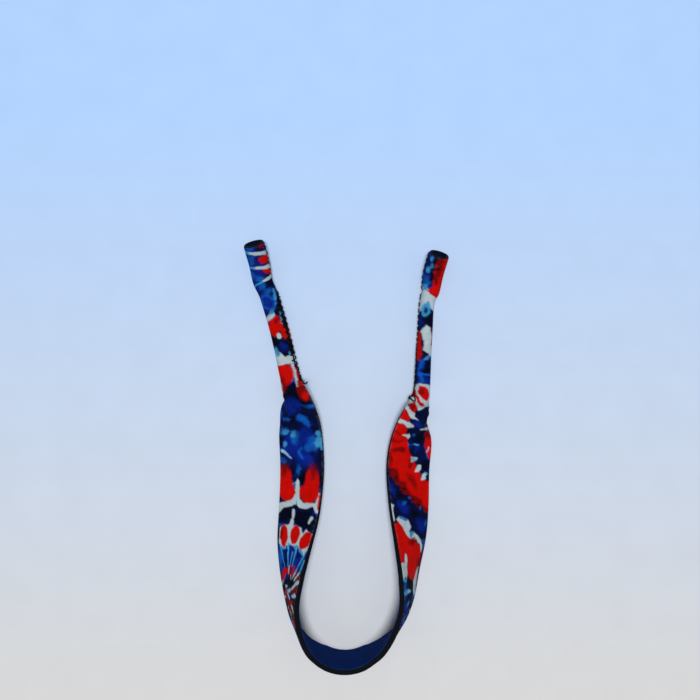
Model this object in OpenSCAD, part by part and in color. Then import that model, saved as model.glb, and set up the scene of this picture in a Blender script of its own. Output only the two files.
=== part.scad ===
// Eyeglass retainer strap: a die-cut band of three-ply wetsuit laminate.
// The middle stands on its cut edge as a U, the two limbs twist down flat,
// and each end is folded lengthwise and stitched into a sleeve for a temple arm.
// Millimetres. Origin: middle of the strap's length, on the surface it lies on.
// +Y runs towards the sleeves, +Z up.

/* [Band] */
// Full width of the flat band
band_w = 20; // [16:0.5:26]
// Laminate thickness, all three plies
laminate_t = 2.7; // [2:0.1:4]
// Thickness of each knitted face ply
jersey_t = 0.3; // [0.2:0.05:0.6]

/* [Neck curve] */
// Radius of the middle ply round the back of the neck, as laid down
neck_r = 19.7; // [15:0.1:40]
// Half angle of the neck piece
neck_half_angle = 26; // [20:1:60]
// Clear gap at the bending places
flex_gap = 0.3; // [0.2:0.05:0.6]

/* [Stitching] */
// Sewing thread diameter
thread_d = 0.38; // [0.2:0.02:0.6]
// Advance of one full zigzag
stitch_pitch = 2.6; // [1.5:0.1:5]
// Width of the zigzag over the butted edges
stitch_w = 3.1; // [2:0.1:5]

/* [Hidden] */

half_t = laminate_t / 2;
foam_k = 1 - jersey_t / half_t;   // ply boundary as a share of the half thickness
edge_tau = 0.986;                 // the butted edges stop just short of each other
SEAM_U = 12;                      // station where the seam starts
END_U = 18;                       // station of the sleeve mouth
JOIN_U = 0.03;                    // half gap at the sleeve's flex place, in stations
LIMB_RINGS = 28;
SLEEVE_RINGS = 17;
LIMB_TAUS = [for (j = [0 : 12]) edge_tau * (j / 6 - 1)];
SLEEVE_TAUS = [for (j = [0 : 18]) edge_tau * (j / 9 - 1)];
LOW_TAUS = [for (j = [0 : 16]) j / 8 - 1];

neck_x = neck_r * sin(neck_half_angle);
neck_y = neck_r * (1 - cos(neck_half_angle));
H = band_w / 2;

// One row per station, hand-placed: distance outwards, y, lift, pitch up, lean from
// the vertical, fold angle, edge closing angle, fold radius, closing radius, straight
// at the fold, half width, thickness share.
LEFT = [
    [neck_x, neck_y, 0, 0, 0, 0, 0, 6, 6, 0, H, 1],
    [12.1, 3.7, 0, 0, 3, 0, 0, 6, 6, 0, H, 1],
    [17.0, 7.7, 0, 0, 7, 0, 0, 6, 6, 0, H, 1],
    [21.4, 15.4, 0, 0, 13, 0, 0, 6, 6, 0, H, 1],
    [23.7, 26.1, 0, 0, 17, 0, 0, 6, 6, 0, H, 1],
    [23.9, 38.5, 0, 0, 30, 0, 0, 6, 6, 0, H, 1],
    [22.8, 52.1, 0, 0, 47, 0, 0, 6, 6, 0, H, 1],
    [20.6, 67.0, 0, 0, 64, 0, 0, 6, 6, 0, H, 1],
    [19.5, 83.0, 0, 0, 77, 0, 0, 6, 6, 0, H, 1],
    [19.9, 96.0, 0, 0, 82, 6, 0, 6, 6, 0, H, 1],
    [21.3, 106.0, 0, 0, 84, 32, 0, 5, 5, 0, H, 1],
    [24.6, 116.0, 0, 0, 87, 72, 10, 3.8, 5, 0, 9.5, 1],
    [27.4, 122.5, 0, 0, 90, 158, 56, 2.1, 2.0, 0, 8.5, 1],
    [28.5, 128.0, 0, 0, 90, 180, 90, 1.8, 1.8, 0, 8.3, 1],
    [32.6, 146.5, 0, 0, 88, 180, 90, 1.8, 1.8, 0, 8.0, 1],
    [37.2, 162.5, 0, 0, 86, 180, 90, 1.8, 1.8, 0, 7.8, 1],
    [40.4, 169.5, 0, 8, 86, 180, 90, 2.4, 2.4, 0, 9.1, 0.95],
    [42.4, 178.0, 1.1, 17, 86, 180, 90, 3.4, 3.4, 0.2, 11.4, 0.76],
    [44.9, 187.6, 4.8, 24, 86, 180, 90, 3.75, 3.75, 0.6, 13.0, 0.62]];
RIGHT = [
    [neck_x, neck_y, 0, 0, 0, 0, 0, 6, 6, 0, H, 1],
    [12.1, 3.7, 0, 0, 3, 0, 0, 6, 6, 0, H, 1],
    [17.3, 7.4, 0, 0, 7, 0, 0, 6, 6, 0, H, 1],
    [23.2, 14.5, 0, 0, 15, 0, 0, 6, 6, 0, H, 1],
    [27.5, 25.9, 0, 0, 18, 0, 0, 6, 6, 0, H, 1],
    [28.9, 40.2, 0, 0, 27, 0, 0, 6, 6, 0, H, 1],
    [29.4, 55.2, 0, 0, 45, 0, 0, 6, 6, 0, H, 1],
    [28.9, 70.0, 0, 0, 62, 0, 0, 6, 6, 0, H, 1],
    [28.6, 84.0, 0, 0, 73, 0, 0, 6, 6, 0, H, 1],
    [29.6, 93.5, 0, 0, 78, 8, 0, 6, 6, 0, H, 1],
    [32.2, 102.5, 0, 0, 83, 44, 0, 4.5, 5, 0, H, 1],
    [35.7, 110.5, 0, 0, 88, 104, 10, 3.0, 4, 0, 9.7, 1],
    [36.8, 116.0, 0, 0, 90, 168, 64, 2.0, 1.9, 0.4, 8.6, 1],
    [37.2, 121.0, 0, 0, 90, 180, 90, 1.75, 1.75, 0.9, 8.1, 1],
    [38.0, 142.0, 0, 0, 90, 180, 90, 1.75, 1.75, 1.1, 8.0, 1],
    [39.1, 159.5, 0, 0, 90, 180, 90, 1.75, 1.75, 1.1, 8.0, 1],
    [41.6, 165.5, 0, 8, 90, 180, 90, 2.4, 2.4, 0.7, 9.6, 0.95],
    [43.6, 173.5, 1.1, 17, 90, 180, 90, 3.4, 3.4, 0.5, 11.9, 0.76],
    [46.3, 182.8, 4.6, 24, 90, 180, 90, 3.75, 3.75, 0.7, 13.2, 0.62]];

function clamp(v, a, b) = max(a, min(b, v));
function deg(x) = x * 180 / PI;
function rad(x) = x * PI / 180;

// smooth row between stations
function mix_row(P, u) =
    let (n = len(P), i = min(floor(u), n - 2), f = u - i,
         b = P[i], c = P[i + 1],
         a = i > 0 ? P[i - 1] : 2 * b - c,
         d = i < n - 2 ? P[i + 2] : 2 * c - b)
    0.5 * (2 * b + (c - a) * f + (2 * a - 5 * b + 4 * c - d) * f * f
        + (3 * b - a - 3 * c + d) * f * f * f);
function row_at(P, u) =
    let (r = mix_row(P, u))
    [for (k = [0 : 11]) k == 2 || k == 3 || k == 9 ? max(r[k], 0) : k == 5 ? clamp(r[k], 0, 180)
        : k == 6 ? clamp(r[k], 0, 90) : r[k]];

// half section from the fold outwards, then the bearing there
function half_section(t, S) =
    let (a1 = rad(S[5] / 2), a2 = rad(S[6]), r1 = S[7], r2 = S[8], s0 = S[9],
         l1 = r1 * a1, l2 = r2 * a2, s2 = s0 * S[6] / 90,
         s1 = max(S[10] - s0 - l1 - l2 - s2, 0),
         t0 = min(t, s0),
         t1 = clamp(t - s0, 0, l1),
         t2 = clamp(t - s0 - l1, 0, s1),
         t3 = clamp(t - s0 - l1 - s1, 0, l2),
         t4 = max(t - s0 - l1 - s1 - l2, 0),
         b1 = -deg(t1 / r1),
         b2 = b1 - deg(t3 / r2))
    [t0 - r1 * sin(b1) + t2 * cos(b1) + r2 * (sin(b1) - sin(b2)) + t4 * cos(b2),
     r1 * (cos(b1) - 1) + t2 * sin(b1) + r2 * (cos(b2) - cos(b1)) + t4 * sin(b2),
     b2];

// middle surface point and its normal across the section, [inwards, up, n_in, n_up]
function across(tau, S) =
    let (h = half_section(abs(tau) * S[10], S), s = tau < 0 ? -1 : 1,
         m = 90 - S[4] + S[5] / 2, x = s * h[0], y = h[1],
         nx = -s * sin(h[2]), ny = cos(h[2]))
    [x * cos(m) - y * sin(m), x * sin(m) + y * cos(m),
     nx * cos(m) - ny * sin(m), nx * sin(m) + ny * cos(m)];

function heading(P, u) =
    let (a = mix_row(P, max(u - 0.001, 0)), b = mix_row(P, min(u + 0.001, len(P) - 1)),
         d = [b[0] - a[0], b[1] - a[1]])
    d / norm(d);

// drop that puts the section's lowest point on the surface
function drop(S) = min([for (t = LOW_TAUS)
    let (q = across(t, S)) q[1] - abs(q[3]) * S[11] * half_t]);

function place(P, sx, u, tau, k, S, h, low) =
    let (q = across(tau, S), w = [q[0] + q[2] * k * S[11] * half_t,
             q[1] + q[3] * k * S[11] * half_t - low],
         shift = u == 0 ? -half_t * sqrt(max(1 - k * k, 0)) : 0,
         e = [-sin(S[3]) * h[0], -sin(S[3]) * h[1], cos(S[3])],
         X = S[0] - h[1] * w[0] + e[0] * w[1] + h[0] * shift,
         Y = S[1] + h[0] * w[0] + e[1] * w[1] + h[1] * shift)
    [sx * X, Y, S[2] + e[2] * w[1]];

// ring of points at one station: taus forwards at one depth, backwards at the other
function ring(P, sx, u, taus, k1, k0) =
    let (S = row_at(P, u), h = heading(P, u), low = drop(S), n = len(taus))
    concat([for (j = [0 : n - 1]) place(P, sx, u, taus[j], k1, S, h, low)],
           [for (j = [n - 1 : -1 : 0]) place(P, sx, u, taus[j], k0, S, h, low)]);

function tri(a, b, c, flip) = flip ? [a, c, b] : [a, b, c];

// one ply from station ua to ub, between depth shares k0 and k1
module ply(P, sx, ua, ub, rings, taus, k1, k0) {
    n = len(taus);
    m = 2 * n;
    flip = sx > 0;
    pts = [for (i = [0 : rings]) each ring(P, sx, ua + (ub - ua) * i / rings, taus, k1, k0)];
    last = rings * m;
    wall = [for (i = [0 : rings - 1]) for (j = [0 : m - 1])
        let (a = i * m + j, b = i * m + (j + 1) % m, c = a + m, d = b + m, up = j < n)
        each (up ? [tri(a, d, b, flip), tri(a, c, d, flip)]
                 : [tri(a, c, b, flip), tri(b, c, d, flip)])];
    caps = [for (j = [0 : n - 2])
        let (a = j, b = j + 1, c = m - 2 - j, d = m - 1 - j)
        each [tri(a, b, c, flip), tri(a, c, d, flip),
              tri(last + a, last + c, last + b, flip),
              tri(last + a, last + d, last + c, flip)]];
    polyhedron(points = pts, faces = concat(wall, caps), convexity = 8);
}

module limb_ply(P, sx, k1, k0)
    ply(P, sx, 0, SEAM_U - JOIN_U, LIMB_RINGS, LIMB_TAUS, k1, k0);
module sleeve_ply(P, sx, k1, k0)
    ply(P, sx, SEAM_U + JOIN_U, END_U, SLEEVE_RINGS, SLEEVE_TAUS, k1, k0);

// neck piece: round socket at each end for the limb's rounded end
module neck_ply(k1, k0) {
    far = 2 * neck_r;
    difference() {
        linear_extrude(height = band_w) translate([0, neck_r]) intersection() {
            difference() {
                circle(r = neck_r + k1 * half_t, $fn = 160);
                circle(r = neck_r + k0 * half_t, $fn = 160);
            }
            polygon([[0, 0], [-far * sin(neck_half_angle), -far * cos(neck_half_angle)],
                     [far * sin(neck_half_angle), -far * cos(neck_half_angle)]]);
        }
        for (s = [-1, 1]) translate([s * neck_x, neck_y, -1])
            cylinder(r = half_t + flex_gap, h = band_w + 2, $fn = 48);
    }
}

// swept thread: one closed tube along a list of pairs, each a point and one above it
function unit(v) = v / max(norm(v), 0.00001);
module thread(path, d, sides = 5) {
    n = len(path);
    pts = [for (i = [0 : n - 1])
        let (t = path[min(i + 1, n - 1)][0] - path[max(i - 1, 0)][0],
             a = unit(cross(t, path[i][1] - path[i][0])), b = unit(cross(t, a)))
        for (j = [0 : sides - 1])
            path[i][0] + d / 2 * (cos(360 * j / sides) * a + sin(360 * j / sides) * b)];
    polyhedron(points = pts, faces = concat(
        [[for (j = [0 : sides - 1]) j]],
        [[for (j = [sides - 1 : -1 : 0]) (n - 1) * sides + j]],
        [for (i = [0 : n - 2]) for (j = [0 : sides - 1])
            let (a = i * sides + j, b = i * sides + (j + 1) % sides)
            each [[a, a + sides, b], [b, a + sides, b + sides]]]), convexity = 6);
}

// pair of points over the seam: w millimetres across it, raised above the face ply
function seam_point(P, sx, u, w, k, rise) =
    let (S = row_at(P, u), h = heading(P, u), low = drop(S),
         tau = w >= 0 ? 1 - w / S[10] : -1 - w / S[10])
    [for (r = [rise, rise + 1]) place(P, sx, u, tau, k + r / (S[11] * half_t), S, h, low)];
// distance along the stations, and the table that turns it back into a station
function run(P, i) = i == 0 ? 0
    : run(P, i - 1) + norm([P[i][0] - P[i - 1][0], P[i][1] - P[i - 1][1], P[i][2] - P[i - 1][2]]);
function run_table(P) = [for (i = [0 : len(P) - 1]) [run(P, i), i]];

// one full zigzag: share of the pitch, and of half the width
STITCH = [[0, -1.04], [0.12, -1], [0.185, -0.5], [0.25, 0], [0.315, 0.5], [0.38, 1],
    [0.5, 1.04], [0.62, 1], [0.685, 0.5], [0.75, 0], [0.815, -0.5], [0.88, -1]];
function zigzag(P, sx, from, turns, pitch, w, rise) =
    let (table = run_table(P))
    [for (i = [0 : turns - 1]) for (q = STITCH)
        seam_point(P, sx, lookup(from + (i + q[0]) * pitch, table), w / 2 * q[1], 1, rise)];

// the seam starts just past its station, with a short bartack before the zigzag
LEFT_SEAM = run(LEFT, SEAM_U) + 3.4;
RIGHT_SEAM = run(RIGHT, SEAM_U) + 2.4;
tack_pitch = 1.9;
tack_turns = 2;
tack_w = 2.0;
tack_len = tack_pitch * tack_turns;
turns = floor(61 / stitch_pitch);
lift = 0.40;                      // the threads lie this far off the face
module needle_thread(P, sx, from)
    thread(zigzag(P, sx, from + tack_len + 0.4, turns, stitch_pitch, stitch_w, thread_d / 2 + lift),
        thread_d);
module looper_thread(P, sx)
    thread([for (i = [0 : 30]) seam_point(P, sx, SEAM_U + 0.9 + (END_U - SEAM_U - 1.1) * i / 30,
        i % 2 == 0 ? 0.1 : 0.25, -1, -thread_d * 0.35 - 0.03)], thread_d * 0.6);
module bartack(P, sx, from)
    thread(zigzag(P, sx, from, tack_turns, tack_pitch, tack_w, thread_d / 2 + lift),
        thread_d * 0.85);

module loose_tail(P, sx, route)
    thread([for (q = route) seam_point(P, sx, q[0], q[1], 1, thread_d / 2 + 1.5 * lift)],
        thread_d);

module neck_outer_jersey() color("RoyalBlue") neck_ply(1, foam_k);
module neck_foam_core() color("#1b1b1d") neck_ply(foam_k, -foam_k);
module neck_lining_jersey() color("#1f3f8f") neck_ply(-foam_k, -1);
module left_limb_outer_jersey() color("#2d62b8") limb_ply(LEFT, -1, 1, foam_k);
module left_limb_foam_core() color("#222224") limb_ply(LEFT, -1, foam_k, -foam_k);
module left_limb_lining_jersey() color("#22408c") limb_ply(LEFT, -1, -foam_k, -1);
module right_limb_outer_jersey() color("#c62a2a") limb_ply(RIGHT, 1, 1, foam_k);
module right_limb_foam_core() color("#222224") limb_ply(RIGHT, 1, foam_k, -foam_k);
module right_limb_lining_jersey() color("#22408c") limb_ply(RIGHT, 1, -foam_k, -1);
module left_sleeve_outer_jersey() color("#5b93cf") sleeve_ply(LEFT, -1, 1, foam_k);
module left_sleeve_foam_core() color("#2a2a2c") sleeve_ply(LEFT, -1, foam_k, -foam_k);
module left_sleeve_lining_jersey() color("#28489a") sleeve_ply(LEFT, -1, -foam_k, -1);
module right_sleeve_outer_jersey() color("#dfe6ee") sleeve_ply(RIGHT, 1, 1, foam_k);
module right_sleeve_foam_core() color("#2a2a2c") sleeve_ply(RIGHT, 1, foam_k, -foam_k);
module right_sleeve_lining_jersey() color("#28489a") sleeve_ply(RIGHT, 1, -foam_k, -1);
module left_seam_needle_thread() color("#101010") needle_thread(LEFT, -1, LEFT_SEAM);
module left_seam_looper_thread() color("#303030") looper_thread(LEFT, -1);
module left_seam_bartack() color("#181818") bartack(LEFT, -1, LEFT_SEAM);
module left_thread_tail() color("#101010") loose_tail(LEFT, -1, LEFT_TAIL);
module right_seam_needle_thread() color("#101010") needle_thread(RIGHT, 1, RIGHT_SEAM);
module right_seam_looper_thread() color("#303030") looper_thread(RIGHT, 1);
module right_seam_bartack() color("#181818") bartack(RIGHT, 1, RIGHT_SEAM);
module right_thread_tail() color("#101010") loose_tail(RIGHT, 1, RIGHT_TAIL);

// loose ends of the seam thread on the limb's face: station and distance from the edge
LEFT_TAIL = [[11.94, 0.8], [11.87, 0.45], [11.78, 0.3], [11.68, 0.45], [11.62, 0.8], [11.6, 1.3]];
RIGHT_TAIL = [[11.94, 0.7], [11.8, 0.35], [11.6, 0.25], [11.4, 0.35], [11.2, 0.3], [11.05, 0.6]];

neck_outer_jersey();
neck_foam_core();
neck_lining_jersey();
left_limb_outer_jersey();
left_limb_foam_core();
left_limb_lining_jersey();
right_limb_outer_jersey();
right_limb_foam_core();
right_limb_lining_jersey();
left_sleeve_outer_jersey();
left_sleeve_foam_core();
left_sleeve_lining_jersey();
right_sleeve_outer_jersey();
right_sleeve_foam_core();
right_sleeve_lining_jersey();
left_seam_needle_thread();
left_seam_looper_thread();
left_seam_bartack();
left_thread_tail();
right_seam_needle_thread();
right_seam_looper_thread();
right_seam_bartack();
right_thread_tail();
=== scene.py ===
"""Eyewear retainer strap: the looks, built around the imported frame.

The laminate, its print and its stitching are built in mesh code where the CAD solids are.
Shapes are worked out in millimetres, and the objects are in metres.
"""

import math

import bpy
import numpy as np
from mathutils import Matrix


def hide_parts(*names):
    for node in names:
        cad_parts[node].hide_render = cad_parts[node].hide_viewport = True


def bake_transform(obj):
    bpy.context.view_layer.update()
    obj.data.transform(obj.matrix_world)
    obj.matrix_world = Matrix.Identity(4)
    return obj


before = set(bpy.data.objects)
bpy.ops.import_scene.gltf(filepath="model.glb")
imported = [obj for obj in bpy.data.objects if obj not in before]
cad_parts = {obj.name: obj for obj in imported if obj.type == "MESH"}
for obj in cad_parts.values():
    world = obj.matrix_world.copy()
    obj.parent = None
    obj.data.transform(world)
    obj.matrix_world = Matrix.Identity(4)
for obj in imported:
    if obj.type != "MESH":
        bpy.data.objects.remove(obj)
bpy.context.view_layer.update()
MM = 0.001

# ---------------------------------------------------------------- shape of the strap
HALF_T = 1.35                   # half the laminate's thickness
FOAM_K = 1 - 0.3 / HALF_T       # where foam meets knit, in half thicknesses
NECK_R = 19.7                   # radius round the back of the neck
NECK_A = math.radians(26)       # half the angle of that arc
NECK_HALF = NECK_R * NECK_A
MIDDLE_U = 7                    # station where a limb's two lengths of cloth meet
SLEEVE_U = 12                   # station where the sleeve bends from the limb
LAST_U = 18                     # station of the sleeve's mouth
PATH_STEPS = 100                # points measured per station
STEP = 0.4                      # spacing of the meshes' rows along the strap
STITCH_PITCH = 2.6              # advance of one full zigzag
DYE_START = 2.7                 # the dye, seam and roll distances count from here

# The same stations as the CAD, in millimetres and degrees. The columns are
# distance outwards, y, lift, pitch, lean, fold angle, edge closing angle, fold radius,
# closing radius, straight at the fold, half width and thickness share.
(OUT, ALONG, LIFT, PITCH, LEAN, FOLD, CLOSE,
 FOLD_R, CLOSE_R, STRAIGHT, HALF_W, SHARE) = range(12)
NECK_END = [NECK_R * math.sin(NECK_A), NECK_R * (1 - math.cos(NECK_A))]
FLAT = [0, 0, 6, 6, 0, 10, 1]
LEFT = [
    NECK_END + [0, 0, 0] + FLAT,
    [12.1, 3.7, 0, 0, 3] + FLAT,
    [17.0, 7.7, 0, 0, 7] + FLAT,
    [21.4, 15.4, 0, 0, 13] + FLAT,
    [23.7, 26.1, 0, 0, 17] + FLAT,
    [23.9, 38.5, 0, 0, 30] + FLAT,
    [22.8, 52.1, 0, 0, 47] + FLAT,
    [20.6, 67.0, 0, 0, 64] + FLAT,
    [19.5, 83.0, 0, 0, 77] + FLAT,
    [19.9, 96.0, 0, 0, 82, 6, 0, 6, 6, 0, 10, 1],
    [21.3, 106.0, 0, 0, 84, 32, 0, 5, 5, 0, 10, 1],
    [24.6, 116.0, 0, 0, 87, 72, 10, 3.8, 5, 0, 9.5, 1],
    [27.4, 122.5, 0, 0, 90, 158, 56, 2.1, 2.0, 0, 8.5, 1],
    [28.5, 128.0, 0, 0, 90, 180, 90, 1.8, 1.8, 0, 8.3, 1],
    [32.6, 146.5, 0, 0, 88, 180, 90, 1.8, 1.8, 0, 8.0, 1],
    [37.2, 162.5, 0, 0, 86, 180, 90, 1.8, 1.8, 0, 7.8, 1],
    [40.4, 169.5, 0, 8, 86, 180, 90, 2.4, 2.4, 0, 9.1, 0.95],
    [42.4, 178.0, 1.1, 17, 86, 180, 90, 3.4, 3.4, 0.2, 11.4, 0.76],
    [44.9, 187.6, 4.8, 24, 86, 180, 90, 3.75, 3.75, 0.6, 13.0, 0.62]]
RIGHT = [
    NECK_END + [0, 0, 0] + FLAT,
    [12.1, 3.7, 0, 0, 3] + FLAT,
    [17.3, 7.4, 0, 0, 7] + FLAT,
    [23.2, 14.5, 0, 0, 15] + FLAT,
    [27.5, 25.9, 0, 0, 18] + FLAT,
    [28.9, 40.2, 0, 0, 27] + FLAT,
    [29.4, 55.2, 0, 0, 45] + FLAT,
    [28.9, 70.0, 0, 0, 62] + FLAT,
    [28.6, 84.0, 0, 0, 73] + FLAT,
    [29.6, 93.5, 0, 0, 78, 8, 0, 6, 6, 0, 10, 1],
    [32.2, 102.5, 0, 0, 83, 44, 0, 4.5, 5, 0, 10, 1],
    [35.7, 110.5, 0, 0, 88, 104, 10, 3.0, 4, 0, 9.7, 1],
    [36.8, 116.0, 0, 0, 90, 168, 64, 2.0, 1.9, 0.4, 8.6, 1],
    [37.2, 121.0, 0, 0, 90, 180, 90, 1.75, 1.75, 0.9, 8.1, 1],
    [38.0, 142.0, 0, 0, 90, 180, 90, 1.75, 1.75, 1.1, 8.0, 1],
    [39.1, 159.5, 0, 0, 90, 180, 90, 1.75, 1.75, 1.1, 8.0, 1],
    [41.6, 165.5, 0, 8, 90, 180, 90, 2.4, 2.4, 0.7, 9.6, 0.95],
    [43.6, 173.5, 1.1, 17, 90, 180, 90, 3.4, 3.4, 0.5, 11.9, 0.76],
    [46.3, 182.8, 4.6, 24, 90, 180, 90, 3.75, 3.75, 0.7, 13.2, 0.62]]

# How far the cloth is rolled round the sleeve: tucked under by so much between two
# distances, and before that turned up by so much, from two distances to two others.
ROLL = {"left": (2.2, 161, 172, 0.95, 129.5, 136, 161, 170),
        "right": (1.7, 138, 149, 0.3, 124, 128, 136, 142)}
KINK = {"left": 118.7, "right": 113.7}      # where the cloth kinks as it folds
WAVE_SEED = {"left": 11, "right": 31}


def smooth(a, b, x):
    """Eases from 0 at a to 1 at b."""
    t = np.clip((np.asarray(x, float) - a) / (b - a), 0, 1)
    return t * t * (3 - 2 * t)


def spline(a, b, c, d, f):
    """Catmull-Rom curve from b at f = 0 to c at f = 1."""
    return 0.5 * (2 * b + (c - a) * f + (2 * a - 5 * b + 4 * c - d) * f * f
                  + (3 * b - a - 3 * c + d) * f ** 3)


def lattice(x, y, seed):
    """Smooth random field of about -1 to 1, with one feature per unit."""
    table = np.random.default_rng(seed).uniform(-1, 1, (64, 64))
    i, j = np.floor(x).astype(int), np.floor(y).astype(int)
    f, g = x - i, y - j
    f, g = f * f * (3 - 2 * f), g * g * (3 - 2 * g)
    a, b = table[i % 64, j % 64], table[(i + 1) % 64, j % 64]
    c, d = table[i % 64, (j + 1) % 64], table[(i + 1) % 64, (j + 1) % 64]
    return (a * (1 - f) + b * f) * (1 - g) + (c * (1 - f) + d * f) * g


def fbm(x, y, size, seed, octaves=3):
    """The same field with finer ones added, its largest features of the given size."""
    out, amp, total = 0, 1.0, 0
    for k in range(octaves):
        out = out + amp * lattice(x / size * 2 ** k + 7.3 * k, y / size * 2 ** k, seed + k)
        total += amp
        amp *= 0.5
    return out / total


class Half:
    """One half of the strap, measured along its ridge from the end of the neck arc.

    A point of its cloth is named by s, the distance along, tau, the place across from -1
    to 1, and a depth from -1 on the lining's face to 1 on the printed face.
    """

    def __init__(self, name, table, sx):
        self.name, self.sx = name, sx
        self.table = np.array(table, float)
        self.us = np.linspace(0, LAST_U, LAST_U * PATH_STEPS + 1)
        path = np.array([self.mix(u)[:3] for u in self.us])
        steps = np.linalg.norm(np.diff(path, axis=0), axis=1)
        self.ss = np.concatenate([[0], np.cumsum(steps)])
        self.length = self.ss[-1]
        self.cache = {}

    def mix(self, u):
        """Station row at u, on a smooth curve through the table."""
        rows, last = self.table, len(self.table) - 1
        i = min(int(u), last - 1)
        b, c = rows[i], rows[i + 1]
        a = rows[i - 1] if i else 2 * b - c
        d = rows[i + 2] if i < last - 1 else 2 * c - b
        return spline(a, b, c, d, u - i)

    def at(self, u):
        """Distance along the ridge at station u."""
        return float(np.interp(u, self.us, self.ss))

    def place(self, s):
        """Origin, inward, up and forward directions, row and drop at distance s."""
        key = round(float(s), 5)
        if key in self.cache:
            return self.cache[key]
        if s < 0:
            a = NECK_A + s / NECK_R
            S = self.table[0].copy()
            o = np.array([NECK_R * math.sin(a), NECK_R * (1 - math.cos(a)), 0])
            h = np.array([math.cos(a), math.sin(a)])
            past = 0.0
        else:
            u = float(np.interp(s, self.ss, self.us))
            S = self.mix(u)
            S[[LIFT, PITCH, STRAIGHT]] = np.maximum(S[[LIFT, PITCH, STRAIGHT]], 0)
            S[FOLD], S[CLOSE] = min(max(S[FOLD], 0), 180), min(max(S[CLOSE], 0), 90)
            h = self.mix(min(u + 1e-3, LAST_U))[:2] - self.mix(max(u - 1e-3, 0))[:2]
            h = h / np.linalg.norm(h)
            o = np.array([S[OUT], S[ALONG], S[LIFT]])
            past = max(s - self.length, 0)
        p = math.radians(S[PITCH])
        inward = np.array([-h[1], h[0], 0])
        up = np.array([-math.sin(p) * h[0], -math.sin(p) * h[1], math.cos(p)])
        ahead = np.array([h[0] * math.cos(p), h[1] * math.cos(p), math.sin(p)])
        q, m = self.section(S, np.linspace(-1, 1, 17))
        low = (q[:, 1] - np.abs(m[:, 1]) * S[SHARE] * HALF_T).min()
        out = (o + ahead * past, inward, up, ahead, S, low)
        self.cache[key] = out
        return out

    @staticmethod
    def section(S, tau):
        """Middle line of the cross-section and its normal, inwards and up."""
        t = np.abs(tau) * S[HALF_W]
        a1, a2 = math.radians(S[FOLD] / 2), math.radians(S[CLOSE])
        r1, r2, s0 = S[FOLD_R], S[CLOSE_R], S[STRAIGHT]
        l1, l2, s2 = r1 * a1, r2 * a2, s0 * S[CLOSE] / 90
        s1 = max(S[HALF_W] - s0 - l1 - l2 - s2, 0)
        # straight, fold, flank, closing bend and straight to the edge
        t0 = np.minimum(t, s0)
        t1 = np.clip(t - s0, 0, l1)
        t2 = np.clip(t - s0 - l1, 0, s1)
        t3 = np.clip(t - s0 - l1 - s1, 0, l2)
        t4 = np.maximum(t - s0 - l1 - s1 - l2, 0)
        b1 = -t1 / r1
        b2 = b1 - t3 / r2
        sin1, cos1, sin2, cos2 = np.sin(b1), np.cos(b1), np.sin(b2), np.cos(b2)
        x = t0 - r1 * sin1 + t2 * cos1 + r2 * (sin1 - sin2) + t4 * cos2
        y = r1 * (cos1 - 1) + t2 * sin1 + r2 * (cos2 - cos1) + t4 * sin2
        sign = np.where(tau < 0, -1.0, 1.0)
        q = np.stack([sign * x, y], -1)
        m = np.stack([-sign * sin2, cos2], -1)
        a = math.radians(90 - S[LEAN] + S[FOLD] / 2)
        turn = np.array([[math.cos(a), math.sin(a)], [-math.sin(a), math.cos(a)]])
        return q @ turn, m @ turn

    def points(self, s, tau, depth):
        """Points in metres at distance s, for arrays of tau and depth."""
        o, inward, up, _, S, low = self.place(s)
        tau = np.asarray(tau, float)
        inside = np.clip(tau, -1, 1)
        q, m = self.section(S, self.turned(s, inside, S[HALF_W]))
        side = np.stack([m[:, 1], -m[:, 0]], -1) * ((tau - inside) * S[HALF_W])[:, None]
        height = np.asarray(depth) * S[SHARE] * HALF_T + self.relief(s, tau, S)
        w = q + side + m * height[:, None]
        P = o + np.outer(w[:, 0], inward) + np.outer(w[:, 1] - low, up)
        P[:, 2] = np.maximum(P[:, 2], 0)
        P[:, 0] *= self.sx
        return P * MM

    def turned(self, s, tau, width):
        """Where tau lies round the section, because the sleeve is rolled a little."""
        t = tau + self.roll(s - DYE_START) / width
        return np.where(t > 1, t - 2, np.where(t < -1, t + 2, t))

    def roll(self, s):
        under, a, b, over, c, d, e, f = ROLL[self.name]
        return under * smooth(a, b, s) - over * smooth(c, d, s) * (1 - smooth(e, f, s))

    def relief(self, s, tau, S):
        """How far the cloth stands out: soft waves, kinks at the fold, seam pucker."""
        v = tau * S[HALF_W]
        seed, kink = WAVE_SEED[self.name], KINK[self.name]
        waves = 0.10 * smooth(-2, 8, s) * fbm(s + 0 * v, v, 11, seed, 2)
        near = smooth(kink - 9, kink - 2, s) * (1 - smooth(kink + 5, kink + 11, s))
        ripple = np.sin(2 * math.pi * (s + 0.35 * np.abs(v)) / 3.1)
        uneven = 0.6 + 0.4 * lattice(s / 3 + 0 * v, v / 4, seed + 5)
        folds = 0.22 * near * ripple * smooth(0.9, 0.35, np.abs(tau)) * uneven
        closed = smooth(120, 178, S[FOLD])
        stitch = 0.5 + 0.5 * np.cos(2 * math.pi * s / STITCH_PITCH)
        pucker = -0.11 * closed * smooth(0.62, 0.95, np.abs(tau)) * stitch
        dent = -0.10 * closed * smooth(0.93, 1.0, np.abs(tau))
        return waves + folds + pucker + dent


left, right = Half("left", LEFT, -1), Half("right", RIGHT, 1)


# ---------------------------------------------------------------- dye colours and layout
def linear(rgb):
    """Linear light from a colour of 0 to 255."""
    c = np.array(rgb, float) / 255
    return np.where(c <= 0.04045, c / 12.92, ((c + 0.055) / 1.055) ** 2.4)


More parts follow.
